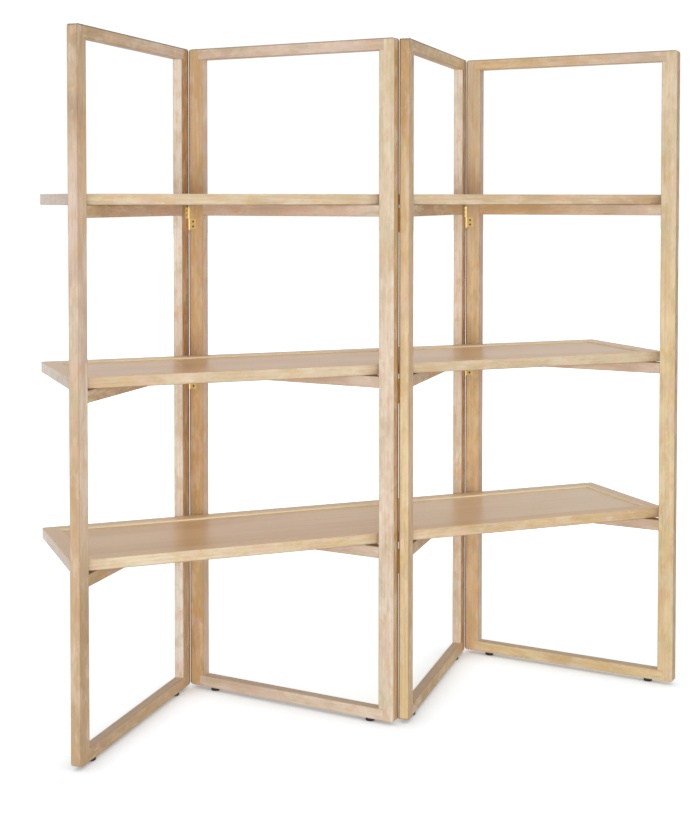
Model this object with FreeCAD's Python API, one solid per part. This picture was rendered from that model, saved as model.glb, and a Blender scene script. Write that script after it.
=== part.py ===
import FreeCAD, Part
import math
import os

# Folding bookcase: four open wooden frames joined in a zigzag by brass hinges,
# and three long boards that lie on the frames' cross rails.
# Millimetres. X runs along the row, Y from front to back, Z up from the floor.

# ---------------------------------------------------------------- driving sizes

# Frames
frame_height = 1990.0
frame_width = 712.0
frame_thickness = 30.0
stile_width = 50.0
rail_height = 34.0
edge_radius = 1.0
corner_radius = 9.0
fold_angle = 50.0              # between each frame and the row's long axis
shelf_rail_levels = {"lower": 478.0, "middle": 976.5, "upper": 1475.0}

# Frame joints
housing_depth = 15.0           # how far the end rails are let into the stiles
tenon_length = 20.0
tenon_height = 20.0
tenon_thickness = 10.0
tenon_setback = 10.0           # from a frame's outer edge to the tenon of an end rail
mortise_end_gap = 1.0

# Boards
board_thickness = 31.0
board_end_inset = 12.0
board_clearance = 1.5          # to the stiles that the board passes
board_seat_clearance = 0.3     # to the rails that the board lies on
board_corner_radius = 4.0
rim_width = 50.0
rim_inner_radius = 1.0
inset_depth = 4.5
inset_thickness = 18.0
inset_clearance = 0.3          # round the panel's shoulders, inside the rim
tongue_length = 9.5
tongue_thickness = 8.0
groove_end_gap = 0.5

# Glides
glide_height = 10.0
glide_radius = 13.5
glide_edge_radius = 3.0
glide_inset = 84.0
glide_stem_radius = 3.0
glide_stem_length = 14.0
glide_stem_clearance = 0.1

# Hinges
hinge_axis_height = 0.3        # of the pin's axis over the frame's face
knuckle_radius = 3.0
knuckle_height = 34.0
knuckle_gap = 0.3
pin_radius = 1.5
pin_clearance = 0.05
pin_head_radius = 2.6
pin_head_height = 1.2
leaf_width = 26.0
leaf_thickness = 1.6
leaf_corner_radius = 3.0
leaf_recess_gap = 0.1          # round the edges of a leaf, in its recess
knuckle_recess_gap = 0.4       # round the knuckles and past the pin's heads
hinge_drop = 9.0               # from a board's underside to the hinge's top
fold_gap = 0.3                 # between the ends of two frames when laid flat

# Screws
screw_inset = 15.0             # from the pin's axis
screw_spacing = 15.0
screw_head_radius = 3.2
screw_shank_radius = 1.6
screw_length = 16.0
screw_slot_width = 0.9
screw_slot_depth = 0.8

# ---------------------------------------------------------------- derived sizes

overcut = 1.0
tolerance = 1e-6
across_axis = FreeCAD.Vector(0, 1, 0)
up_axis = FreeCAD.Vector(0, 0, 1)

half_thickness = frame_thickness / 2
opening_width = frame_width - 2 * stile_width
end_gap = fold_gap / 2
slope_x = math.cos(math.radians(fold_angle))
slope_y = math.sin(math.radians(fold_angle))

# From one fold's pin to the next, along a frame and across it
pin_pitch_along = frame_width + fold_gap
pin_pitch_across = frame_thickness + 2 * hinge_axis_height
pin_pitch_x = pin_pitch_along * slope_x + pin_pitch_across * slope_y
pin_pitch_y = pin_pitch_along * slope_y - pin_pitch_across * slope_x
front_pin_y = -pin_pitch_y / 2
back_pin_y = pin_pitch_y / 2

# Half the row's width, at the outer frames' front ends
outer_reach_x = (frame_width + end_gap) * slope_x + (frame_thickness + hinge_axis_height) * slope_y
row_half_width = pin_pitch_x + outer_reach_x

# The boards pass behind the front stiles, folded flat or not, and before the back stiles
board_half_length = row_half_width - board_end_inset
front_stile_reach = end_gap + stile_width
back_corner_along = frame_width - stile_width + end_gap
back_corner_across = frame_thickness + hinge_axis_height
back_corner_y = front_pin_y + back_corner_along * slope_y - back_corner_across * slope_x
board_front_y = front_pin_y + front_stile_reach + board_clearance
board_back_y = back_corner_y - board_clearance
board_depth = board_back_y - board_front_y
inset_bottom = board_thickness - inset_depth - inset_thickness
tongue_bottom = inset_bottom + (inset_thickness - tongue_thickness) / 2

knuckle_bore_radius = pin_radius + pin_clearance
hinge_height = 2 * knuckle_height + knuckle_gap
frame_top_rail_level = frame_height - rail_height
tenon_shoulder = (rail_height - tenon_height) / 2


def hinge_bottom(rail_level):
    """Height of a hinge's lower end over the frames' bottom edge."""
    return rail_level + rail_height - hinge_drop - hinge_height


hinge_bottoms = [hinge_bottom(level) for level in shelf_rail_levels.values()]

# ---------------------------------------------------------------- frame layout

# facing is +1 where a frame's own +Y side is its front, and -1 where it is its back.
# leaf is the half of each hinge that the frame carries.
frames = {
    "frame_1": {"facing": -1, "leaf": "upper", "folds": {"back": "left_fold"}},
    "frame_2": {"facing": 1, "leaf": "lower", "folds": {"front": "centre_fold", "back": "left_fold"}},
    "frame_3": {"facing": -1, "leaf": "upper", "folds": {"front": "centre_fold", "back": "right_fold"}},
    "frame_4": {"facing": 1, "leaf": "lower", "folds": {"back": "right_fold"}},
}
fold_pins = {
    "left_fold": FreeCAD.Vector(-pin_pitch_x, back_pin_y, 0),
    "centre_fold": FreeCAD.Vector(0, front_pin_y, 0),
    "right_fold": FreeCAD.Vector(pin_pitch_x, back_pin_y, 0),
}


def pin_in_frame(facing, end):
    """Where a fold's pin stands in a frame's own axes."""
    across = half_thickness + hinge_axis_height
    if end == "back":
        return FreeCAD.Vector(frame_width + end_gap, facing * across, 0)
    return FreeCAD.Vector(-end_gap, -facing * across, 0)


def frame_placement(name):
    """From a frame's own axes, X from its front end to its back end, to the row's."""
    frame = frames[name]
    turn = fold_angle if frame["facing"] < 0 else 180 - fold_angle
    rotation = FreeCAD.Rotation(up_axis, turn)
    pin = pin_in_frame(frame["facing"], "back")
    base = fold_pins[frame["folds"]["back"]] - rotation.multVec(pin)
    base.z = glide_height
    return FreeCAD.Placement(base, rotation)


# ---------------------------------------------------------------- wooden frames

def edges_along(shape, direction):
    """The straight edges of a shape that run along one direction."""
    found = []
    for edge in shape.Edges:
        run = edge.Vertexes[-1].Point - edge.Vertexes[0].Point
        if run.Length > 0 and run.cross(direction).Length < tolerance * run.Length:
            found.append(edge)
    return found


def stile_blank():
    """A stile whose outer corners, at X = 0, are rounded, with all its face edges eased."""
    low = corner_radius
    high = frame_height - corner_radius
    nook = corner_radius * (1 - math.sqrt(0.5))
    corners = {
        "a": FreeCAD.Vector(corner_radius, -half_thickness, 0),
        "b": FreeCAD.Vector(stile_width, -half_thickness, 0),
        "c": FreeCAD.Vector(stile_width, -half_thickness, frame_height),
        "d": FreeCAD.Vector(corner_radius, -half_thickness, frame_height),
        "top_nook": FreeCAD.Vector(nook, -half_thickness, frame_height - nook),
        "e": FreeCAD.Vector(0, -half_thickness, high),
        "f": FreeCAD.Vector(0, -half_thickness, low),
        "bottom_nook": FreeCAD.Vector(nook, -half_thickness, nook),
    }
    outline = Part.Wire([
        Part.LineSegment(corners["a"], corners["b"]).toShape(),
        Part.LineSegment(corners["b"], corners["c"]).toShape(),
        Part.LineSegment(corners["c"], corners["d"]).toShape(),
        Part.Arc(corners["d"], corners["top_nook"], corners["e"]).toShape(),
        Part.LineSegment(corners["e"], corners["f"]).toShape(),
        Part.Arc(corners["f"], corners["bottom_nook"], corners["a"]).toShape(),
    ])
    blank = Part.Face(outline).extrude(across_axis * frame_thickness)
    face_edges = [
        edge for edge in blank.Edges
        if abs(abs(edge.CenterOfMass.y) - half_thickness) < tolerance
    ]
    return blank.makeFillet(edge_radius, face_edges)


def end_rail_housing(level):
    """The notch across a stile's inner edge that takes an end rail's full section."""
    notch = Part.makeBox(housing_depth + overcut, frame_thickness + 2 * overcut, rail_height + overcut)
    bottom = level if level > 0 else -overcut
    notch.translate(FreeCAD.Vector(stile_width - housing_depth, -half_thickness - overcut, bottom))
    return notch


def mortise(depth, bottom):
    """A blind mortise, cut from a stile's inner edge."""
    pocket = Part.makeBox(depth + mortise_end_gap, tenon_thickness, tenon_height)
    pocket.translate(FreeCAD.Vector(stile_width - depth - mortise_end_gap, -tenon_thickness / 2, bottom))
    return pocket


def tenon_bottom(level):
    """Height of a tenon's underside, for the rail at one level."""
    if level == 0:
        return tenon_setback
    if level == frame_top_rail_level:
        return frame_height - tenon_setback - tenon_height
    return level + tenon_shoulder


def stile():
    """A stile seen from its outer end, with the mortises for its five rails."""
    cuts = []
    for level in (0, frame_top_rail_level):
        cuts.append(end_rail_housing(level))
        cuts.append(mortise(housing_depth + tenon_length, tenon_bottom(level)))
    for level in shelf_rail_levels.values():
        cuts.append(mortise(tenon_length, tenon_bottom(level)))
    return stile_blank().cut(cuts)


def rail(level):
    """A cross rail with a tenon at each end, at its height in the frame."""
    is_end_rail = level in (0, frame_top_rail_level)
    reach = housing_depth if is_end_rail else 0
    bar = Part.makeBox(opening_width + 2 * reach, frame_thickness, rail_height)
    bar.translate(FreeCAD.Vector(stile_width - reach, -half_thickness, level))
    bar = bar.makeFillet(edge_radius, edges_along(bar, FreeCAD.Vector(1, 0, 0)))
    tongue_run = opening_width + 2 * (reach + tenon_length)
    tongue = Part.makeBox(tongue_run, tenon_thickness, tenon_height)
    tongue_start = stile_width - reach - tenon_length
    tongue.translate(FreeCAD.Vector(tongue_start, -tenon_thickness / 2, tenon_bottom(level)))
    return bar.fuse(tongue).removeSplitter()


def glide_places():
    return (glide_inset, frame_width - glide_inset)


def bottom_rail():
    """The rail at the frame's foot, bored for the stems of its two glides."""
    radius = glide_stem_radius + glide_stem_clearance
    depth = glide_stem_length + glide_stem_clearance
    bores = [
        Part.makeCylinder(radius, depth + overcut, FreeCAD.Vector(place, 0, -overcut))
        for place in glide_places()
    ]
    return rail(0).cut(bores)


def glides():
    """Two stem glides under the bottom rail."""
    disc = Part.makeCylinder(glide_radius, glide_height, FreeCAD.Vector(0, 0, -glide_height))
    foot = [edge for edge in disc.Edges if abs(edge.CenterOfMass.z + glide_height) < tolerance]
    disc = disc.makeFillet(glide_edge_radius, foot)
    glide = disc.fuse(Part.makeCylinder(glide_stem_radius, glide_stem_length)).removeSplitter()
    return [glide.translated(FreeCAD.Vector(place, 0, 0)) for place in glide_places()]


# ---------------------------------------------------------------- hinges

# A hinge is drawn round its pin, Z = 0 at its lower end: the leaf runs to +X, let in
# flush with the frame's face, which lies at Y = -hinge_axis_height.

def leaf_base(which):
    """Height of a leaf's lower edge in its hinge."""
    return knuckle_height + knuckle_gap if which == "upper" else 0


def screw_heights(which):
    """Heights of a leaf's two screws in its hinge."""
    middle = leaf_base(which) + knuckle_height / 2
    return (middle - screw_spacing / 2, middle + screw_spacing / 2)


def screw_shank(height):
    """A screw's plain shank, driven in along -Y from the frame's face."""
    top = FreeCAD.Vector(screw_inset, -hinge_axis_height, height)
    return Part.makeCylinder(screw_shank_radius, screw_length, top, -across_axis)


def countersunk_body(height):
    """A screw's whole form, without its slot."""
    sink = screw_head_radius - screw_shank_radius
    top = FreeCAD.Vector(screw_inset, -hinge_axis_height, height)
    head = Part.makeCone(screw_head_radius, screw_shank_radius, sink, top, -across_axis)
    return head.fuse(screw_shank(height)).removeSplitter()


def leaf_plate(margin, thickness):
    """A leaf's flat plate or the recess for it, larger by a margin at its edges."""
    height = knuckle_height + 2 * margin
    corner = FreeCAD.Vector(0, -hinge_axis_height - leaf_thickness, -margin)
    plate = Part.makeBox(leaf_width + margin, thickness, height, corner)
    free_edges = [edge for edge in edges_along(plate, across_axis) if edge.CenterOfMass.x > leaf_width / 2]
    return plate.makeFillet(leaf_corner_radius + margin, free_edges)


def leaf(which):
    """One leaf with its knuckle and countersunk holes."""
    bottom = leaf_base(which)
    knuckle = Part.makeCylinder(knuckle_radius, knuckle_height)
    plate = leaf_plate(0, leaf_thickness).fuse(knuckle).removeSplitter()
    bore_start = FreeCAD.Vector(0, 0, bottom - overcut)
    cuts = [Part.makeCylinder(knuckle_bore_radius, knuckle_height + 2 * overcut, bore_start)]
    cuts.extend(countersunk_body(height) for height in screw_heights(which))
    return plate.translated(FreeCAD.Vector(0, 0, bottom)).cut(cuts)


def screws(which):
    """A leaf's two slotted countersunk screws."""
    slotted = []
    for height in screw_heights(which):
        slot = Part.makeBox(2 * screw_head_radius, screw_slot_depth + overcut, screw_slot_width)
        corner_x = screw_inset - screw_head_radius
        corner_y = -hinge_axis_height - screw_slot_depth
        slot.translate(FreeCAD.Vector(corner_x, corner_y, height - screw_slot_width / 2))
        slotted.append(countersunk_body(height).cut(slot))
    return slotted


def hinge_cuts(which):
    """What a stile loses to one hinge: the leaf's recess, its pilot holes and the knuckles' nook."""
    recess = leaf_plate(leaf_recess_gap, leaf_thickness + overcut)
    cuts = [recess.translated(FreeCAD.Vector(0, 0, leaf_base(which)))]
    cuts.extend(screw_shank(height) for height in screw_heights(which))
    past_end = pin_head_height + knuckle_recess_gap
    nook_height = hinge_height + knuckle_gap + 2 * past_end
    nook_radius = knuckle_radius + knuckle_recess_gap
    cuts.append(Part.makeCylinder(nook_radius, nook_height, FreeCAD.Vector(0, 0, -past_end)))
    return cuts


def hinge_pin():
    """A pin headed at both ends, resting on the lower knuckle's end."""
    shank = Part.makeCylinder(pin_radius, hinge_height + knuckle_gap)
    lower = Part.makeCylinder(pin_head_radius, pin_head_height, FreeCAD.Vector(0, 0, -pin_head_height))
    upper_start = FreeCAD.Vector(0, 0, hinge_height + knuckle_gap)
    upper = Part.makeCylinder(pin_head_radius, pin_head_height, upper_start)
    return shank.fuse([lower, upper]).removeSplitter()


def turned_to_end(shape, facing, end):
    """Turns a hinge's shape about its pin, to lie in its frame's face."""
    runs_back = end == "back"
    face_is_below = (facing > 0) == runs_back
    middle = FreeCAD.Vector(0, 0, hinge_height / 2)
    turned = shape.copy()
    if runs_back and face_is_below:
        turned = turned.mirror(FreeCAD.Vector(0, 0, 0), FreeCAD.Vector(1, 0, 0))
    elif runs_back:
        turned.rotate(middle, up_axis, 180)
    elif not face_is_below:
        turned = turned.mirror(FreeCAD.Vector(0, 0, 0), across_axis)
    return turned


def on_frame(shapes, frame_name, end):
    """Copies of a hinge's pieces at each of a frame's three hinges, on one end."""
    facing = frames[frame_name]["facing"]
    pin = pin_in_frame(facing, end)
    placed = []
    for bottom in hinge_bottoms:
        for shape in shapes:
            piece = turned_to_end(shape, facing, end)
            piece.translate(pin + FreeCAD.Vector(0, 0, bottom))
            placed.append(piece)
    return placed


# ---------------------------------------------------------------- boards

def inner_block(reach, thickness, bottom):
    """A block centred in a board, whose sides lie a distance beyond the rim's inner faces."""
    margin = rim_width - reach
    return Part.makeBox(
        2 * (board_half_length - margin),
        board_depth - 2 * margin,
        thickness,
        FreeCAD.Vector(margin, margin, bottom),
    )


def is_inner(edge):
    """True for an edge round the opening of a board's rim."""
    middle = edge.CenterOfMass
    from_end = min(middle.x, 2 * board_half_length - middle.x)
    from_side = min(middle.y, board_depth - middle.y)
    return min(from_end, from_side) > rim_width / 2


def rim_ring():
    """The board's whole rim, eased outside, with the groove for the inset panel."""
    ring = Part.makeBox(2 * board_half_length, board_depth, board_thickness)
    ring = ring.makeFillet(board_corner_radius, edges_along(ring, up_axis))
    outer_edges = [
        edge for edge in ring.Edges
        if min(abs(edge.CenterOfMass.z), abs(edge.CenterOfMass.z - board_thickness)) < tolerance
    ]
    ring = ring.makeFillet(edge_radius, outer_edges)
    ring = ring.cut(inner_block(0, board_thickness + 2 * overcut, -overcut))
    inner_edges = [
        edge for edge in ring.Edges
        if abs(edge.CenterOfMass.z - board_thickness) < tolerance and is_inner(edge)
    ]
    ring = ring.makeFillet(rim_inner_radius, inner_edges)
    return ring.cut(inner_block(tongue_length + groove_end_gap, tongue_thickness, tongue_bottom))


def inset_panel():
    """The panel, with a tongue all round that lies in the rim's groove."""
    panel = inner_block(-inset_clearance, inset_thickness, inset_bottom)
    return panel.fuse(inner_block(tongue_length, tongue_thickness, tongue_bottom)).removeSplitter()


def mitred_part(points):
    """The share of a rim inside an outline of mitre lines, at full thickness."""
    corners = [FreeCAD.Vector(x, y, 0) for x, y in points]
    outline = Part.makePolygon(corners + corners[:1])
    return Part.Face(outline).extrude(up_axis * board_thickness)


def board_pieces():
    """A board's mitred rims and its inset panel, from its front left corner."""
    length = 2 * board_half_length
    ring = rim_ring()
    inner_x = length - rim_width
    inner_y = board_depth - rim_width
    front = [(0, 0), (length, 0), (inner_x, rim_width), (rim_width, rim_width)]
    back = [(0, board_depth), (rim_width, inner_y), (inner_x, inner_y), (length, board_depth)]
    left = [(0, 0), (rim_width, rim_width), (rim_width, inner_y), (0, board_depth)]
    right = [(length, 0), (length, board_depth), (inner_x, inner_y), (inner_x, rim_width)]
    return {
        "front_rim": [ring.common(mitred_part(front))],
        "back_rim": [ring.common(mitred_part(back))],
        "end_rims": [ring.common(mitred_part(left)), ring.common(mitred_part(right))],
        "inset": [inset_panel()],
    }


# ---------------------------------------------------------------- assembly

def frame_pieces(name):
    """The wooden pieces and glides of one frame, in the frame's own axes."""
    frame = frames[name]
    middle = FreeCAD.Vector(frame_width / 2, 0, 0)
    stiles = {"front": stile(), "back": stile().mirror(middle, FreeCAD.Vector(1, 0, 0))}
    for end in frame["folds"]:
        stiles[end] = stiles[end].cut(on_frame(hinge_cuts(frame["leaf"]), name, end))
    pieces = {
        "front_stile": [stiles["front"]],
        "back_stile": [stiles["back"]],
        "top_rail": [rail(frame_top_rail_level)],
        "bottom_rail": [bottom_rail()],
        "glides": glides(),
    }
    for level_name, level in shelf_rail_levels.items():
        pieces[level_name + "_rail"] = [rail(level)]
    return pieces


def hinge_pieces(name):
    """A frame's hinge leaves and screws, by node name, in the frame's own axes."""
    frame = frames[name]
    which = frame["leaf"]
    pieces = {}
    for end, fold in frame["folds"].items():
        pieces[fold + "_" + which + "_leaves"] = on_frame([leaf(which)], name, end)
        pieces[fold + "_" + which + "_screws"] = on_frame(screws(which), name, end)
    return pieces


def pin_solids(fold):
    """The three pins of one fold, in the row's axes."""
    return [
        hinge_pin().translated(fold_pins[fold] + FreeCAD.Vector(0, 0, glide_height + bottom))
        for bottom in hinge_bottoms
    ]


def write_node(name, solids):
    shape = solids[0] if len(solids) == 1 else Part.makeCompound(solids)
    shape.exportStep("parts/" + name + ".step")


os.makedirs("parts", exist_ok=True)

for frame_name in frames:
    placement = frame_placement(frame_name)
    for piece_name, solids in frame_pieces(frame_name).items():
        placed = [solid.transformed(placement.toMatrix()) for solid in solids]
        write_node(frame_name + "_" + piece_name, placed)
    for node_name, solids in hinge_pieces(frame_name).items():
        write_node(node_name, [solid.transformed(placement.toMatrix()) for solid in solids])

for fold_name in fold_pins:
    write_node(fold_name + "_pins", pin_solids(fold_name))

for level_name, level in shelf_rail_levels.items():
    underside = glide_height + level + rail_height + board_seat_clearance
    corner = FreeCAD.Vector(-board_half_length, board_front_y, underside)
    for piece_name, solids in board_pieces().items():
        placed = [solid.translated(corner) for solid in solids]
        write_node(level_name + "_board_" + piece_name, placed)
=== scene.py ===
import math
import bpy
from mathutils import Matrix, Vector


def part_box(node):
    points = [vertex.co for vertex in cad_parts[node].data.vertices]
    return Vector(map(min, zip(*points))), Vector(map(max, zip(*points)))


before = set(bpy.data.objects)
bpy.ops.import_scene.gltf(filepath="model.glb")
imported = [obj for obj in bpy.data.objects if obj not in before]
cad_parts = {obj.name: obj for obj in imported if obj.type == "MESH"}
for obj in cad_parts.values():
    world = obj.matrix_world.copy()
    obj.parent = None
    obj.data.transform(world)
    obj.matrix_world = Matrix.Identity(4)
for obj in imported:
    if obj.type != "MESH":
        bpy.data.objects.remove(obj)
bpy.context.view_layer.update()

# The looks of the folding bookcase: node materials for its CAD solids, a white studio and
# the photograph's camera. Everything is in metres, in the frame of the CAD model: X along
# the row, -Y to the front, +Z up, with the floor at Z = 0.

# ---------------------------------------------------------------- sizes

FOLD_ANGLE = math.radians(50.0)       # between each frame and the row
STILE_WIDTH = 0.050
FRAME_THICKNESS = 0.030
RAIL_HEIGHT = 0.034
RIM_WIDTH = 0.050

FRAME_TURNS = {1: FOLD_ANGLE, 2: math.pi - FOLD_ANGLE, 3: FOLD_ANGLE, 4: math.pi - FOLD_ANGLE}
LEVELS = ("lower", "middle", "upper")
FOLDS = ("left", "centre", "right")

# ---------------------------------------------------------------- camera

CAMERA_PLACE = Vector((-1.7013, -4.0672, 1.5332))
CAMERA_YAW = math.radians(21.33)      # from the back (+Y) towards the right (+X)
CAMERA_DROP = math.radians(1.9)       # below the horizontal
FOCAL_LENGTH = 62.07
SENSOR_WIDTH = 36.0
CAMERA_SHIFT = (0.0244, -0.2027)

# ---------------------------------------------------------------- colours


def srgb(red, green, blue):
    """A screen colour, 0 to 255, as the linear colour that the shaders use."""
    linear = []
    for channel in (red, green, blue):
        value = channel / 255
        if value <= 0.04045:
            linear.append(value / 12.92)
        else:
            linear.append(((value + 0.055) / 1.055) ** 2.4)
    return (*linear, 1.0)


# The woods' base tones, each a light and a deeper colour
TONES = {
    "chalk": (srgb(250, 238, 224), srgb(240, 224, 206)),
    "pale": (srgb(246, 230, 210), srgb(234, 212, 188)),
    "cream": (srgb(236, 218, 186), srgb(222, 200, 164)),
    "straw": (srgb(244, 220, 176), srgb(232, 204, 154)),
    "apricot": (srgb(246, 208, 160), srgb(234, 192, 140)),
    "flax": (srgb(226, 206, 174), srgb(212, 188, 152)),
    "rose": (srgb(230, 208, 190), srgb(212, 186, 164)),
    "mauve": (srgb(216, 196, 182), srgb(198, 174, 158)),
    "honey": (srgb(232, 204, 160), srgb(216, 182, 134)),
    "fawn": (srgb(220, 190, 156), srgb(204, 170, 132)),
    "amber": (srgb(222, 184, 132), srgb(204, 162, 108)),
    "bronze": (srgb(206, 170, 122), srgb(188, 148, 98)),
    "tan": (srgb(204, 174, 138), srgb(186, 154, 116)),
    "dusk": (srgb(194, 166, 132), srgb(176, 146, 112)),
    "umber": (srgb(194, 152, 110), srgb(172, 130, 90)),
}
WOOD_OLIVE = srgb(198, 184, 140)
WOOD_PINK = srgb(230, 192, 168)
WOOD_HONEY = srgb(220, 174, 120)
WOOD_PALE = srgb(242, 228, 202)
WOOD_LATE = srgb(186, 148, 104)
WOOD_STAIN = srgb(138, 108, 76)
WOOD_ARRIS = srgb(84, 74, 58)
# Painted highlight along the rims' inner arrises
RIM_LIP_HIGHLIGHT = srgb(254, 238, 202)
# Painted shade in the stiles' corners at the folds
FOLD_SHADE_COLOUR = srgb(104, 68, 36)
# Painted shade on the shelf rails' tops under the boards
UNDER_BOARD_SHADE = srgb(112, 82, 54)
# Painted grey reflection on the bottom rails' tops
SILL_GREY_REFLECTION = srgb(214, 194, 172)
PANEL_LIGHT = srgb(246, 210, 168)
PANEL_DEEP = srgb(236, 197, 150)
PANEL_WARM = srgb(254, 230, 194)
BRASS_BRIGHT = srgb(252, 232, 168)
BRASS_DULL = srgb(238, 208, 128)
# Dark brass for the centre fold's hinges: painted shade for where they sit in the fold
BRASS_FOLD_SHADE = srgb(136, 98, 52)
BRASS_FOLD_DEEP_SHADE = srgb(104, 68, 36)
SCREW_DARK = srgb(24, 15, 7)
SCREW_WORN = srgb(58, 40, 22)
GLIDE_BLACK = srgb(28, 27, 26)
GLIDE_GREY = srgb(86, 84, 80)
WHITE = (1.0, 1.0, 1.0, 1.0)

# ---------------------------------------------------------------- shader helpers


def new_material(name):
    """An empty node material, with its tree and output."""
    material = bpy.data.materials.new(name)
    material.use_nodes = True
    tree = material.node_tree
    tree.nodes.clear()
    return material, tree, tree.nodes.new("ShaderNodeOutputMaterial")


def add(tree, kind, inputs=None, **settings):
    """A node with its settings made and its inputs linked or set."""
    node = tree.nodes.new(kind)
    for key, value in settings.items():
        setattr(node, key, value)
    for key, value in (inputs or {}).items():
        if isinstance(value, bpy.types.NodeSocket):
            tree.links.new(value, node.inputs[key])
        else:
            node.inputs[key].default_value = value
    return node


def math_node(tree, operation, first, second=0.0, clamp=False):
    """The result of an operation on one or two values."""
    node = add(tree, "ShaderNodeMath", {0: first, 1: second}, operation=operation, use_clamp=clamp)
    return node.outputs[0]


def mix_colour(tree, factor, first, second):
    """The first colour where the factor is 0, and the second where it is 1."""
    node = add(tree, "ShaderNodeMix", data_type="RGBA")
    sockets = {"Factor": factor, "A": first, "B": second}
    for socket in node.inputs:
        if socket.name not in sockets or not socket.enabled:
            continue
        value = sockets[socket.name]
        if isinstance(value, bpy.types.NodeSocket):
            tree.links.new(value, socket)
        else:
            socket.default_value = value
    return next(socket for socket in node.outputs if socket.enabled)


def lay_over(tree, colour, over, amount, share):
    """A colour with another over it, where the amount says and at most by the share."""
    return mix_colour(tree, math_node(tree, "MULTIPLY", amount, share), colour, over)


def smooth_step(tree, value, low, high):
    """0 below low, 1 above high and smooth between."""
    node = add(
        tree, "ShaderNodeMapRange", {"Value": value, "From Min": low, "From Max": high},
        interpolation_type="SMOOTHSTEP",
    )
    return node.outputs["Result"]


def noise(tree, vector, along, across, detail=2.0, roughness=0.5, distortion=0.0):
    """Noise about 0.5, in features per metre along and across the grain."""
    stretched = add(
        tree, "ShaderNodeVectorMath", {0: vector, 1: (along, across, across)},
        operation="MULTIPLY",
    )
    inputs = {
        "Vector": stretched.outputs[0],
        "Scale": 1.0,
        "Detail": detail,
        "Roughness": roughness,
        "Distortion": distortion,
    }
    return add(tree, "ShaderNodeTexNoise", inputs, noise_dimensions="3D").outputs["Fac"]


def swing(tree, value, size):
    """A noise of the given size, about 0."""
    return math_node(tree, "MULTIPLY", math_node(tree, "SUBTRACT", value, 0.5), size)


def varied(tree, base, value, change):
    """A base number that changes with a noise."""
    return math_node(tree, "ADD", base, math_node(tree, "MULTIPLY", value, change))


def add_shader(tree, output, colour, roughness, relief, bump, **others):
    """The shader of a solid, with a relief as strong and as high as the bump says."""
    strength, distance = bump
    inputs = {"Strength": strength, "Distance": distance, "Height": relief}
    normal = add(tree, "ShaderNodeBump", inputs).outputs[0]
    inputs = {"Base Color": colour, "Roughness": roughness, "Normal": normal, **others}
    shader = add(tree, "ShaderNodeBsdfPrincipled", inputs)
    tree.links.new(shader.outputs[0], output.inputs["Surface"])


# ---------------------------------------------------------------- piece coordinates

SEED_STEPS = (1.37, 0.61, 0.83)       # how far apart the noise of two pieces lies
FULL_SHARE = 0.15                     # of a reach, within which a mark is at its fullest
FACE_REACH = 0.0012                   # how far over its edges a face's own colour goes


def centre_of(node_name):
    """The middle of a piece's box."""
    low, high = (Vector(corner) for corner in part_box(node_name))
    return (low + high) / 2


def half_extents(node_name):
    """Half the size of a piece's box."""
    low, high = (Vector(corner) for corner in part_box(node_name))
    return (high - low) / 2


def grain_vector(tree, centre, turn, upright=False):
    """Coordinates from a piece's centre, with X along its grain."""
    place = add(tree, "ShaderNodeTexCoord").outputs["Object"]
    local = add(
        tree, "ShaderNodeMapping",
        {"Vector": place, "Location": centre, "Rotation": (0.0, 0.0, turn)},
        vector_type="TEXTURE",
    ).outputs[0]
    if not upright:
        return local
    parts = add(tree, "ShaderNodeSeparateXYZ", {0: local}).outputs
    return add(tree, "ShaderNodeCombineXYZ", {0: parts[2], 1: parts[0], 2: parts[1]}).outputs[0]


def noise_vector(tree, vector, seed):
    """The coordinates moved on by the seed, so that each piece has its own figure."""
    offset = tuple(seed * step for step in SEED_STEPS)
    return add(tree, "ShaderNodeVectorMath", {0: vector, 1: offset}, operation="ADD").outputs[0]


def face_distances(tree, parts, halves):
    """Depth below each pair of a box's faces: its ends, its sides across and its flats."""
    depths = []
    for part, half in zip(parts, halves):
        size = math_node(tree, "ABSOLUTE", part)
        depths.append(math_node(tree, "SUBTRACT", half, size))
    return depths


def edge_distance(tree, depths):
    """Distance to the nearest edge of a box, at a point on its surface."""
    first, second, third = depths
    low = math_node(tree, "MINIMUM", first, second)
    high = math_node(tree, "MAXIMUM", first, second)
    return math_node(tree, "MAXIMUM", low, math_node(tree, "MINIMUM", high, third))


def near_face(tree, depth, reach):
    """1 at a face and 0 at the reach below it."""
    return math_node(tree, "SUBTRACT", 1.0, smooth_step(tree, depth, FULL_SHARE * reach, reach))


# ---------------------------------------------------------------- figure of the oak

# A noise is features per metre along and across the grain, then detail and roughness. Its
# edges are the values between which a colour comes in, and its share is how much.
CLOUDS = (4.0, 15.0, 4.0, 0.6)
CLOUD_EDGES = (0.36, 0.64)
TONE_WANDER = 0.3                     # how unevenly a tone turns into the next
STREAKS = (9.0, 260.0, 4.0, 0.6)
STREAK_EDGES = (0.50, 0.74)
STREAK_SHARE = 0.22
PORES = (60.0, 1500.0)
PORE_EDGES = (0.60, 0.72)
PORE_SHARE = 0.22
# Soft patches: colour, features per metre along and across, and share
PATCHES = (
    (WOOD_OLIVE, 10.0, 22.0, 0.40),
    (WOOD_PINK, 14.0, 26.0, 0.48),
    (WOOD_HONEY, 18.0, 36.0, 0.36),
    (WOOD_PALE, 14.0, 40.0, 0.34),
)
PATCH_FORM = (3.0, 0.6, 0.2)          # detail, roughness and distortion
PATCH_EDGES = (0.50, 0.66)
RING_SHARE = 0.12
RING_SPACING = 0.0085
RING_DRIFT = (1.3, 5.0)
RING_DRIFT_SIZE = 0.045
HEART_ACROSS = 0.045                  # the tree's heart, from the piece's centre
HEART_THROUGH = 0.030
RING_DARKENS = (0.0, 0.75)            # where, in the width of a ring
RING_ENDS = (0.88, 1.0)


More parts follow.
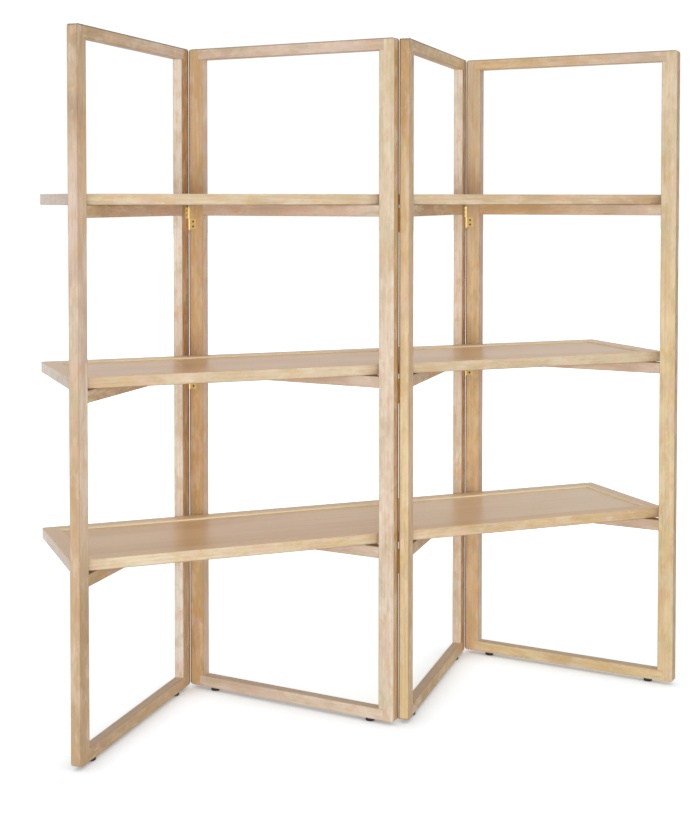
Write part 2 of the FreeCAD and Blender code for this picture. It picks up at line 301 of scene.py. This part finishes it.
def growth_rings(tree, vector):
    """Faint early and late wood, round a heart that lies beside the piece."""
    drift = swing(tree, noise(tree, vector, *RING_DRIFT), RING_DRIFT_SIZE)
    parts = add(tree, "ShaderNodeSeparateXYZ", {0: vector}).outputs
    across = math_node(tree, "ADD", parts[1], HEART_ACROSS)
    through = math_node(tree, "ADD", parts[2], HEART_THROUGH)
    squares = [math_node(tree, "MULTIPLY", side, side) for side in (across, through)]
    radius = math_node(tree, "SQRT", math_node(tree, "ADD", *squares))
    rings = math_node(tree, "DIVIDE", math_node(tree, "ADD", radius, drift), RING_SPACING)
    phase = math_node(tree, "FRACT", rings)
    rise = smooth_step(tree, phase, *RING_DARKENS)
    fall = smooth_step(tree, phase, *RING_ENDS)
    return math_node(tree, "SUBTRACT", rise, fall, clamp=True)


def blend_tones(tree, depth, run, tones):
    """Tones that turn into each other, one after the other, along a piece."""
    colour = mix_colour(tree, depth, *TONES[tones[0]])
    steps = len(tones) - 1
    for step, tone in enumerate(tones[1:]):
        turned = smooth_step(tree, run, step / steps, (step + 1) / steps)
        colour = mix_colour(tree, turned, colour, mix_colour(tree, depth, *TONES[tone]))
    return colour


def base_colour(tree, vector, along, half_length, side_depth, tones, sides):
    """A piece's tones in soft clouds, with others on its narrow sides if they are given; on the stiles
    these tones hold painted light and shade as well as the wood's own tone.
    """
    clouds = noise(tree, vector, *CLOUDS)
    depth = smooth_step(tree, clouds, *CLOUD_EDGES)
    share = math_node(tree, "DIVIDE", math_node(tree, "ADD", along, half_length), 2 * half_length)
    run = math_node(tree, "ADD", share, swing(tree, clouds, TONE_WANDER))
    colour = blend_tones(tree, depth, run, tones)
    if not sides:
        return colour
    side_colour = blend_tones(tree, depth, run, sides)
    return mix_colour(tree, near_face(tree, side_depth, FACE_REACH), colour, side_colour)


def add_figure(tree, here, vector, colour):
    """The colour with patches, rings, streaks and pores, and the streaks and the pores."""
    for patch, along, across, share in PATCHES:
        field = noise(tree, vector, along, across, *PATCH_FORM)
        colour = lay_over(tree, colour, patch, smooth_step(tree, field, *PATCH_EDGES), share)
    colour = lay_over(tree, colour, WOOD_LATE, growth_rings(tree, here), RING_SHARE)
    streaks = noise(tree, vector, *STREAKS)
    streaked = smooth_step(tree, streaks, *STREAK_EDGES)
    colour = lay_over(tree, colour, WOOD_STAIN, streaked, STREAK_SHARE)
    pores = smooth_step(tree, noise(tree, vector, *PORES), *PORE_EDGES)
    colour = lay_over(tree, colour, WOOD_STAIN, pores, PORE_SHARE)
    return colour, streaks, pores


# ---------------------------------------------------------------- marks on the oak

WEAR_REACH = 0.0030                   # how far from an edge the lacquer is worn
WEAR_WANDER = 0.003                   # and how unevenly
FRAME_WEAR = 0.36
RIM_WEAR = 0.10
# A dark arris: its reach below the face that it borders, its reach from the edge
TOP_ARRIS = (0.0055, 0.0070)
# The rims' lower arris: painted shade under a board's edges
UNDER_RIM_SHADE = (0.0035, 0.0040)
UNDER_RIM_SHADE_SHARE = 0.45
RIM_TOP_SHARE = 0.85
# How strongly the bottom rails' tops take the painted grey reflection
SILL_REFLECTION_SHARE = 0.55
# How strongly the shelf rails' tops take the painted shade under the boards
UNDER_BOARD_SHADE_SHARE = 0.80
# How strongly the painted shade fills a stile's corner at its fold
FOLD_SHADE_SHARE = 0.90
LIP_HIGHLIGHT_START = (-0.003, -0.001)          # where a painted highlight begins, before a rim's inner arris


def darken_arris(tree, colour, depth, edge, reaches, share):
    """Darkens the arrises that border one face."""
    below, beside = (near_face(tree, *pair) for pair in zip((depth, edge), reaches))
    return lay_over(tree, colour, WOOD_ARRIS, math_node(tree, "MULTIPLY", below, beside), share)


def mark_rim(tree, colour, height, half_height, edge):
    """A rim's upper face takes its panel's tone, and its lower arris gets painted shade, for the shadow
    under the board's edge.
    """
    sunk = math_node(tree, "SUBTRACT", half_height, height)
    colour = lay_over(tree, colour, PANEL_LIGHT, near_face(tree, sunk, FACE_REACH), RIM_TOP_SHARE)
    raised = math_node(tree, "ADD", half_height, height)
    return darken_arris(tree, colour, raised, edge, UNDER_RIM_SHADE, UNDER_RIM_SHADE_SHARE)


def mark_frame(tree, colour, height, half_height, edge, level, dark):
    """The upper side of a frame's piece: a dark arris, a painted grey reflection on the bottom rail's
    top, or painted shade on a shelf rail's top under its board.
    """
    sunk = math_node(tree, "SUBTRACT", half_height, height)
    if level == "top":
        return darken_arris(tree, colour, sunk, edge, TOP_ARRIS, dark)
    upper = near_face(tree, sunk, FACE_REACH)
    if level == "bottom":
        return lay_over(tree, colour, SILL_GREY_REFLECTION, upper, SILL_REFLECTION_SHARE)
    return lay_over(tree, colour, UNDER_BOARD_SHADE, upper, UNDER_BOARD_SHADE_SHARE)


def paint_lip_highlight(tree, colour, across, direction, place, reach):
    """A painted highlight on a rim's inner arris and on the reach from it, where light catches the
    raised rim.
    """
    inward = math_node(tree, "SUBTRACT", math_node(tree, "MULTIPLY", across, direction), place)
    inside = smooth_step(tree, inward, *LIP_HIGHLIGHT_START)
    band = math_node(tree, "MULTIPLY", inside, near_face(tree, inward, reach))
    return mix_colour(tree, band, colour, RIM_LIP_HIGHLIGHT)


def paint_fold_shade(tree, colour, parts, halves, side, face, reach):
    """Painted shade in the corner of a stile at its fold, on the given side and face, each 1 or -1."""
    depths = []
    for part, half, sign in zip(parts, halves, (side, face)):
        depths.append(math_node(tree, "SUBTRACT", half, math_node(tree, "MULTIPLY", part, sign)))
    corner = near_face(tree, math_node(tree, "MAXIMUM", *depths), reach)
    return lay_over(tree, colour, FOLD_SHADE_COLOUR, corner, FOLD_SHADE_SHARE)


# ---------------------------------------------------------------- oak and veneer

LACQUER_IOR = 1.31
FRAME_ROUGHNESS = 0.50
RIM_ROUGHNESS = 0.30
STREAK_ROUGHNESS = 0.14
STREAK_RELIEF = 0.6
OAK_BUMP = (0.3, 0.0002)

PANEL_BANDS = (0.9, 9.0)
PANEL_BAND_EDGES = (0.36, 0.66)
PANEL_STREAKS = (2.2, 240.0, 4.0, 0.6)
PANEL_STREAK_EDGES = (0.46, 0.72)
PANEL_STREAK_SHARE = 0.16
PANEL_PORES = (40.0, 1400.0)
PANEL_PORE_SHARE = 0.16
PANEL_SMEARS = (5.0, 9.0, 3.0)
PANEL_ROUGHNESS = 0.27
SMEAR_ROUGHNESS = 0.12
PANEL_BUMP = (0.12, 0.0001)


def oak(
    node_name, turn, halves, seed, tones, level, sides=None, upright=False, dark=0.0,
    lip_highlight=None, fold_shade=None,
):
    """Light natural oak under a thin satin lacquer, its grain along one piece.

    The tones follow each other along the grain, with sides for the piece's narrow sides; on the stiles
    both also paint the light and shade that fall on each face.
    The level is "rim" for a board's rim, which is glossier. In a frame it is "top" for what
    reaches the top, with an arris as dark as dark says, "bottom" for the bottom rail, or a
    shelf's level for a shelf rail. The last two arguments hold the last three values for the painted
    highlight on a rim's inner arris and for the painted shade in a stile's corner at its fold.
    """
    material, tree, output = new_material(node_name + "_oak")
    here = grain_vector(tree, centre_of(node_name), turn, upright)
    vector = noise_vector(tree, here, seed)
    parts = add(tree, "ShaderNodeSeparateXYZ", {0: here}).outputs
    depths = face_distances(tree, parts, halves)
    colour = base_colour(tree, vector, parts[0], halves[0], depths[1], tones, sides)
    colour, streaks, pores = add_figure(tree, here, vector, colour)

    rim = level == "rim"
    edge = math_node(tree, "ADD", edge_distance(tree, depths), swing(tree, streaks, WEAR_WANDER))
    worn = near_face(tree, edge, WEAR_REACH)
    colour = lay_over(tree, colour, WOOD_STAIN, worn, RIM_WEAR if rim else FRAME_WEAR)
    up = 0 if upright else 2
    if rim:
        colour = mark_rim(tree, colour, parts[up], halves[up], edge)
    else:
        colour = mark_frame(tree, colour, parts[up], halves[up], edge, level, dark)
    if lip_highlight:
        colour = paint_lip_highlight(tree, colour, parts[1], *lip_highlight)
    if fold_shade:
        colour = paint_fold_shade(tree, colour, parts[1:], halves[1:], *fold_shade)

    roughness = varied(tree, RIM_ROUGHNESS if rim else FRAME_ROUGHNESS, streaks, STREAK_ROUGHNESS)
    relief = math_node(tree, "MULTIPLY", streaks, STREAK_RELIEF)
    relief = math_node(tree, "SUBTRACT", relief, pores)
    add_shader(tree, output, colour, roughness, relief, OAK_BUMP, IOR=LACQUER_IOR)
    return material


def panel_veneer(node_name, half_length, warmth, seed):
    """A board's smooth panel: long straight grain, warmer to the right, well lacquered."""
    material, tree, output = new_material(node_name + "_veneer")
    here = grain_vector(tree, centre_of(node_name), 0.0)
    vector = noise_vector(tree, here, seed)
    bands = smooth_step(tree, noise(tree, vector, *PANEL_BANDS), *PANEL_BAND_EDGES)
    colour = mix_colour(tree, bands, PANEL_LIGHT, PANEL_DEEP)
    along = add(tree, "ShaderNodeSeparateXYZ", {0: here}).outputs[0]
    warm = smooth_step(tree, along, -half_length, half_length)
    colour = lay_over(tree, colour, PANEL_WARM, warm, warmth)
    streaks = noise(tree, vector, *PANEL_STREAKS)
    streaked = smooth_step(tree, streaks, *PANEL_STREAK_EDGES)
    colour = lay_over(tree, colour, WOOD_STAIN, streaked, PANEL_STREAK_SHARE)
    pores = smooth_step(tree, noise(tree, vector, *PANEL_PORES), *PORE_EDGES)
    colour = lay_over(tree, colour, WOOD_STAIN, pores, PANEL_PORE_SHARE)
    smears = noise(tree, vector, *PANEL_SMEARS)
    roughness = varied(tree, PANEL_ROUGHNESS, smears, SMEAR_ROUGHNESS)
    add_shader(tree, output, colour, roughness, streaks, PANEL_BUMP, IOR=LACQUER_IOR)
    return material


# ---------------------------------------------------------------- metal and plastic

BRASS_PATCHES = (90.0, 90.0, 4.0, 0.6)
BRASS_PATCH_EDGES = (0.42, 0.72)
BRASS_DULL_SHARE = 0.6
BRASS_LINES = (300.0, 2400.0)
BRASS_METALLIC = 0.5
BRASS_ROUGHNESS = 0.38
BRASS_DULLING = 0.16                  # how much rougher it is where dull
BRASS_BUMP = (0.15, 0.00005)

SCREW_PATCHES = (420.0, 420.0, 3.0)
SCREW_PATCH_EDGES = (0.52, 0.75)
SCREW_METALLIC = 0.2
SCREW_ROUGHNESS = 0.72
SCREW_POLISH = -0.15                  # how the roughness changes where worn
SCREW_BUMP = (0.2, 0.00005)

GLIDE_SCUFFS = (160.0, 160.0, 5.0, 0.65)
GLIDE_SCUFF_EDGES = (0.55, 0.8)
GLIDE_SCUFF_SHARE = 0.35
GLIDE_TEXTURE = (1800.0, 1800.0, 1.0)
GLIDE_ROUGHNESS = 0.52
GLIDE_SCUFFING = 0.2                  # how much rougher it is where scuffed
GLIDE_BUMP = (0.25, 0.00008)


def brass_material(name, bright, dull):
    """Brass with a light brushed grain, dulled in patches."""
    material, tree, output = new_material(name)
    place = add(tree, "ShaderNodeTexCoord").outputs["Object"]
    dulled = smooth_step(tree, noise(tree, place, *BRASS_PATCHES), *BRASS_PATCH_EDGES)
    colour = lay_over(tree, bright, dull, dulled, BRASS_DULL_SHARE)
    roughness = varied(tree, BRASS_ROUGHNESS, dulled, BRASS_DULLING)
    lines = noise(tree, place, *BRASS_LINES)
    add_shader(tree, output, colour, roughness, lines, BRASS_BUMP, Metallic=BRASS_METALLIC)
    return material


def screw_material():
    """Dark bronzed steel, rubbed brighter on its high spots."""
    material, tree, output = new_material("screw_steel")
    place = add(tree, "ShaderNodeTexCoord").outputs["Object"]
    patches = noise(tree, place, *SCREW_PATCHES)
    worn = smooth_step(tree, patches, *SCREW_PATCH_EDGES)
    colour = mix_colour(tree, worn, SCREW_DARK, SCREW_WORN)
    roughness = varied(tree, SCREW_ROUGHNESS, worn, SCREW_POLISH)
    add_shader(tree, output, colour, roughness, patches, SCREW_BUMP, Metallic=SCREW_METALLIC)
    return material


def glide_material():
    """Moulded black nylon with a fine matt texture, scuffed a little grey."""
    material, tree, output = new_material("glide_plastic")
    place = add(tree, "ShaderNodeTexCoord").outputs["Object"]
    scuffs = noise(tree, place, *GLIDE_SCUFFS)
    scuffed = smooth_step(tree, scuffs, *GLIDE_SCUFF_EDGES)
    colour = lay_over(tree, GLIDE_BLACK, GLIDE_GREY, scuffed, GLIDE_SCUFF_SHARE)
    roughness = varied(tree, GLIDE_ROUGHNESS, scuffs, GLIDE_SCUFFING)
    texture = noise(tree, place, *GLIDE_TEXTURE)
    add_shader(tree, output, colour, roughness, texture, GLIDE_BUMP)
    return material


def dress(node_name, material):
    """Gives a carried-over solid its finished material."""
    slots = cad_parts[node_name].material_slots
    if not slots:
        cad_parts[node_name].data.materials.append(material)
    for slot in slots:
        slot.material = material


# ---------------------------------------------------------------- frames

FRAME_SEED = 1.0
# Each stile's tones from its foot to its head, on its wide faces and on its narrow sides. Besides the
# wood's own tone they hold painted light and shade: paler tones where a face is turned to the light,
# darker ones where it is turned away, and tones up a stile that follow the light falling on it.
STILE_TONES_AND_SHADE = {
    "frame_1_front_stile": (
        ("tan", "tan", "pale", "rose", "fawn", "dusk"),
        ("tan", "fawn", "fawn", "rose", "rose", "dusk"),
    ),
    "frame_1_back_stile": (("tan", "umber"), ("chalk", "chalk")),
    "frame_2_back_stile": (("amber", "honey"), ("rose", "rose")),
    "frame_2_front_stile": (("pale", "pale", "cream"), ("bronze", "bronze")),
    "frame_3_front_stile": (("fawn", "fawn", "dusk"), ("straw", "straw", "honey", "bronze")),
    "frame_3_back_stile": (("umber", "umber"), ("pale", "chalk")),
    "frame_4_back_stile": (("apricot", "straw", "cream"), ("mauve", "mauve")),
    "frame_4_front_stile": (("straw", "straw", "cream"), ("dusk", "dusk")),
}
# The fold that each stile turns on, and how far from its corner the painted shade reaches
STILE_FOLDS = {
    "frame_1_back_stile": ("left", 0.012),
    "frame_2_back_stile": ("left", 0.006),
    "frame_2_front_stile": ("centre", 0.014),
    "frame_3_front_stile": ("centre", 0.006),
    "frame_3_back_stile": ("right", 0.012),
    "frame_4_back_stile": ("right", 0.006),
}
# The tones of each frame's rails, from one end to the other
RAIL_TONES = {1: ("tan", "rose"), 2: ("rose", "rose"), 3: ("tan", "honey"), 4: ("rose", "honey")}
BOTTOM_TONES = {1: ("tan", "fawn"), 2: ("pale", "rose"), 3: ("tan", "honey"), 4: ("straw", "straw")}
# How dark the upper arris of each frame is
ARRIS_SHARES = {1: 0.90, 2: 0.50, 3: 0.90, 4: 0.50}


def stile_halves(node_name):
    """Half a stile's size along its grain, across it and through it."""
    return (half_extents(node_name).z, STILE_WIDTH / 2, FRAME_THICKNESS / 2)


def rail_halves(node_name):
    """Half a rail's size along its grain, through it and in height."""
    half_run = half_extents(node_name).x - FRAME_THICKNESS / 2 * math.sin(FOLD_ANGLE)
    return (half_run / math.cos(FOLD_ANGLE), FRAME_THICKNESS / 2, RAIL_HEIGHT / 2)


def fold_corner(node_name, turn):
    """The corner of a stile that is at its fold: its signs across and through, and the reach of its
    painted shade.
    """
    if node_name not in STILE_FOLDS:
        return None
    fold, reach = STILE_FOLDS[node_name]
    offset = centre_of(f"{fold}_fold_pins") - centre_of(node_name)
    local = Matrix.Rotation(-turn, 3, "Z") @ offset
    return (math.copysign(1.0, local.x), math.copysign(1.0, local.y), reach)


def dress_frames():
    """Each stile and rail in oak of its own tones, the stiles' tones also holding painted light and
    shade.
    """
    seed = FRAME_SEED
    for number, turn in FRAME_TURNS.items():
        dark = ARRIS_SHARES[number]
        for side in ("front", "back"):
            name = f"frame_{number}_{side}_stile"
            tones, sides = STILE_TONES_AND_SHADE[name]
            material = oak(
                name, turn, stile_halves(name), seed, tones, "top",
                sides=sides, upright=True, dark=dark, fold_shade=fold_corner(name, turn),
            )
            dress(name, material)
            seed += 1.0
        for level in ("top", "bottom", *LEVELS):
            name = f"frame_{number}_{level}_rail"
            tones = BOTTOM_TONES[number] if level == "bottom" else RAIL_TONES[number]
            dress(name, oak(name, turn, rail_halves(name), seed, tones, level, dark=dark))
            seed += 1.0


# ---------------------------------------------------------------- boards

BOARD_SEED = 40.0
RIM_TONES = {"lower": ("cream", "honey"), "middle": ("flax", "flax"), "upper": ("flax", "flax", "fawn")}
END_TONES = ("rose", "pale")
PANEL_WARMTH = {"lower": 0.75, "middle": 0.35, "upper": 0.35}
BACK_LIP_HIGHLIGHT = 0.024                      # how far over the back rim the painted highlight goes
END_LIP_HIGHLIGHT = 0.011                       # and over the right end's rim


def dress_boards():
    """Each board's rims in oak and its panel in veneer."""
    seed = BOARD_SEED
    for level in LEVELS:
        for side in ("front", "back"):
            name = f"{level}_board_{side}_rim"
            halves = tuple(half_extents(name))
            lip_highlight = (1.0, -halves[1], BACK_LIP_HIGHLIGHT) if side == "back" else None
            dress(name, oak(name, 0.0, halves, seed, RIM_TONES[level], "rim", lip_highlight=lip_highlight))
            seed += 1.0
        name = f"{level}_board_end_rims"
        size = half_extents(name)
        halves = (size.y, size.x, size.z)
        lip_highlight = (-1.0, size.x - RIM_WIDTH, END_LIP_HIGHLIGHT)
        dress(name, oak(name, math.pi / 2, halves, seed, END_TONES, "rim", lip_highlight=lip_highlight))
        seed += 1.0
        name = f"{level}_board_inset"
        dress(name, panel_veneer(name, half_extents(name).x, PANEL_WARMTH[level], seed))
        seed += 1.0


# ---------------------------------------------------------------- fittings


def dress_fittings():
    """The hinges in brass, their screws in steel and the glides in plastic; the centre fold's hinges
    are darkened with painted shade.
    """
    bright = brass_material("brass", BRASS_BRIGHT, BRASS_DULL)
    fold_shaded = brass_material("fold_shaded_brass", BRASS_FOLD_SHADE, BRASS_FOLD_DEEP_SHADE)
    steel = screw_material()
    plastic = glide_material()
    for fold in FOLDS:
        # The centre fold's hinges take the dark brass, painted shade
        brass = fold_shaded if fold == "centre" else bright
        dress(f"{fold}_fold_pins", brass)
        for half in ("upper", "lower"):
            dress(f"{fold}_fold_{half}_leaves", brass)
            dress(f"{fold}_fold_{half}_screws", steel)
    for number in FRAME_TURNS:
        dress(f"frame_{number}_glides", plastic)


# ---------------------------------------------------------------- studio

FLOOR_HALF = 60.0
FLOOR_DROP = 0.0002
FLOOR_COLOUR = (0.87, 0.91, 0.96, 1.0)
FLOOR_GLOW_COLOUR = (0.94, 0.98, 1.0, 1.0)
FLOOR_GLOWS = ((1.3, 0.62), (2.4, 0.95))     # two distances, and how strong the glow is there
CONTACT_REACH = 0.10                         # how far from it the object shades the glow
CONTACT_POWER = 0.9
CONTACT_SAMPLES = 8
HORIZON_LEVEL = 0.95
ZENITH_LEVEL = 0.42
ZENITH_HEIGHT = 0.7                          # the sine of the angle from which it is reached
BACKDROP_LEVEL = 1.03                        # a little past white, so it stays white
AIM = Vector((0.0, 0.0, 0.9))
# The one soft light: its place, the side of its square and its power in watts
KEY_PLACE = Vector((-1.8, -5.4, 0.8))
KEY_SIZE = 2.8
KEY_POWER = 165.0


def shown_rays(tree):
    """1 for what the camera, a reflection or clear glass sees, 0 for light on the object."""
    rays = add(tree, "ShaderNodeLightPath").outputs
    seen = math_node(tree, "MAXIMUM", rays["Is Camera Ray"], rays["Is Glossy Ray"])
    return math_node(tree, "MAXIMUM", seen, rays["Is Transmission Ray"])


def floor_glow(tree):
    """What keeps the floor white: a glow that is weaker near the object and under it."""
    place = add(tree, "ShaderNodeTexCoord").outputs["Object"]
    away = add(tree, "ShaderNodeVectorMath", {0: place}, operation="LENGTH").outputs["Value"]
    (near, near_glow), (far, far_glow) = FLOOR_GLOWS
    strength = add(
        tree, "ShaderNodeMapRange",
        {"Value": away, "From Min": near, "From Max": far, "To Min": near_glow, "To Max": far_glow},
        interpolation_type="SMOOTHSTEP",
    ).outputs["Result"]
    inputs = {"Distance": CONTACT_REACH}
    open_share = add(tree, "ShaderNodeAmbientOcclusion", inputs, samples=CONTACT_SAMPLES).outputs["AO"]
    open_share = math_node(tree, "POWER", open_share, CONTACT_POWER)
    strength = math_node(tree, "MULTIPLY", strength, open_share)
    return add(tree, "ShaderNodeEmission", {"Color": FLOOR_GLOW_COLOUR, "Strength": strength})


def build_floor():
    """A wide white floor, just under the glides."""
    mesh = bpy.data.meshes.new("studio_floor")
    signs = ((-1, -1), (1, -1), (1, 1), (-1, 1))
    corners = [(x * FLOOR_HALF, y * FLOOR_HALF, -FLOOR_DROP) for x, y in signs]
    mesh.from_pydata(corners, [], [(0, 1, 2, 3)])
    floor = bpy.data.objects.new("studio_floor", mesh)
    bpy.context.collection.objects.link(floor)
    material, tree, output = new_material("studio_white")
    matt = add(tree, "ShaderNodeBsdfDiffuse", {"Color": FLOOR_COLOUR})
    lifted = add(tree, "ShaderNodeAddShader", {0: matt.outputs[0], 1: floor_glow(tree).outputs[0]})
    inputs = {0: shown_rays(tree), 1: matt.outputs[0], 2: lifted.outputs[0]}
    shader = add(tree, "ShaderNodeMixShader", inputs)
    tree.links.new(shader.outputs[0], output.inputs["Surface"])
    mesh.materials.append(material)


def build_world():
    """A white backdrop that lights the object more from the sides than from above."""
    world = bpy.data.worlds.new("studio")
    bpy.context.scene.world = world
    world.use_nodes = True
    tree = world.node_tree
    tree.nodes.clear()
    direction = add(tree, "ShaderNodeTexCoord").outputs["Generated"]
    height = add(tree, "ShaderNodeSeparateXYZ", {0: direction}).outputs[2]
    inputs = {
        "Value": height,
        "From Min": 0.0,
        "From Max": ZENITH_HEIGHT,
        "To Min": HORIZON_LEVEL,
        "To Max": ZENITH_LEVEL,
    }
    level = add(tree, "ShaderNodeMapRange", inputs, interpolation_type="SMOOTHSTEP").outputs["Result"]
    light = add(tree, "ShaderNodeBackground", {"Color": WHITE, "Strength": level})
    shown = add(tree, "ShaderNodeBackground", {"Color": WHITE, "Strength": BACKDROP_LEVEL})
    inputs = {0: shown_rays(tree), 1: light.outputs[0], 2: shown.outputs[0]}
    mixed = add(tree, "ShaderNodeMixShader", inputs)
    output = add(tree, "ShaderNodeOutputWorld")
    tree.links.new(mixed.outputs[0], output.inputs["Surface"])


def build_light():
    """A large square light in front, low and to the left, aimed at the object."""
    lamp = bpy.data.lights.new("key", "AREA")
    lamp.shape = "SQUARE"
    lamp.size = KEY_SIZE
    lamp.energy = KEY_POWER
    light = bpy.data.objects.new("key", lamp)
    bpy.context.collection.objects.link(light)
    light.location = KEY_PLACE
    light.rotation_mode = "QUATERNION"
    light.rotation_quaternion = (AIM - KEY_PLACE).to_track_quat("-Z", "Y")


def build_camera():
    """The photograph's camera, turned from looking straight down."""
    data = bpy.data.cameras.new("camera")
    data.sensor_width = SENSOR_WIDTH
    data.lens = FOCAL_LENGTH
    data.shift_x, data.shift_y = CAMERA_SHIFT
    camera = bpy.data.objects.new("camera", data)
    bpy.context.collection.objects.link(camera)
    turn = Matrix.Rotation(-CAMERA_YAW, 4, "Z") @ Matrix.Rotation(math.pi / 2 - CAMERA_DROP, 4, "X")
    camera.matrix_world = Matrix.Translation(CAMERA_PLACE) @ turn
    bpy.context.scene.camera = camera


dress_frames()
dress_boards()
dress_fittings()
build_floor()
build_world()
build_light()
build_camera()

bpy.context.scene.view_settings.view_transform = "Standard"
